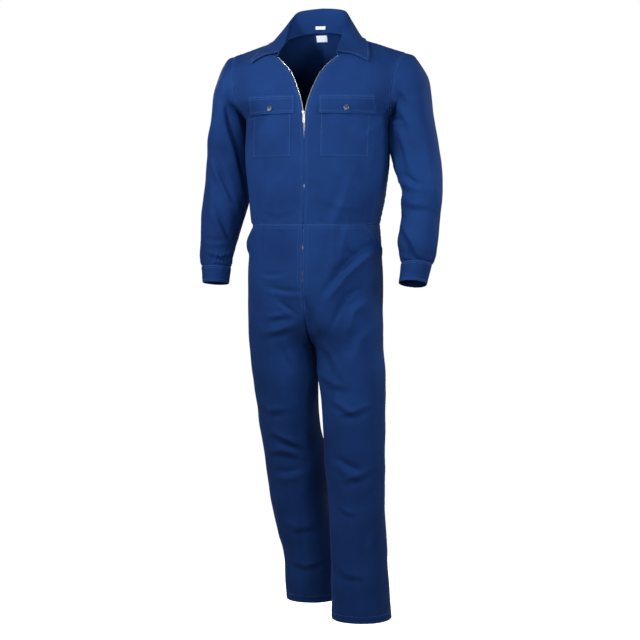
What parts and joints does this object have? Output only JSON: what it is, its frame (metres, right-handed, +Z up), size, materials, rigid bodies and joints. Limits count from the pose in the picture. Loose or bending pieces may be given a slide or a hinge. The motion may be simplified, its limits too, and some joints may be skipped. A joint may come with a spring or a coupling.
{
  "type": "boiler suit",
  "caption": "Long-sleeved boiler suit with turn-down collar, open front zip, flap chest pockets, slanted hip pockets, waist seam and straight legs, filled out as worn.",
  "frame": {"origin": "between the shoulders at the base of the neck, where the wearer holds the suit up", "axes": "+Z up along the body, -Y to the wearer's front, +X to the wearer's left"},
  "size_m": [0.6444, 0.3127, 1.5821],
  "materials": {
    "royal_blue_twill": "matt twill weave, royal blue",
    "dark_button": "satin, dark grey-blue",
    "nickel": "bright nickel on metal teeth",
    "label": "plain woven white"
  },
  "bodies": {
    "garment": {"back": "royal_blue_twill", "chest_flap_left": "royal_blue_twill", "chest_flap_right": "royal_blue_twill", "chest_pocket_left": "royal_blue_twill", "chest_pocket_right": "royal_blue_twill", "collar": "royal_blue_twill", "cuff_button_left": "dark_button", "cuff_button_right": "dark_button", "cuff_left": "royal_blue_twill", "cuff_right": "royal_blue_twill", "flap_button_left": "dark_button", "flap_button_right": "dark_button", "front_left": "royal_blue_twill", "front_right": "royal_blue_twill", "hip_pocket_left": "royal_blue_twill", "hip_pocket_right": "royal_blue_twill", "neck_label": "label", "size_label": "label", "sleeve_left": "royal_blue_twill", "sleeve_right": "royal_blue_twill", "trouser_back_left": "royal_blue_twill", "trouser_back_right": "royal_blue_twill", "trouser_front_left": "royal_blue_twill", "trouser_front_right": "royal_blue_twill", "zip_left": "nickel", "zip_right": "nickel", "zip_slider": "nickel"},
    "pull": {"zip_pull": "nickel"}
  },
  "joints": [
    {"name": "pull_swing", "type": "hinge", "parent": "garment", "child": "pull", "pos_m": [0.00052, -0.141, -0.20344], "axis": [-1, 0, 0], "range_deg": [0, 165]}
  ]
}
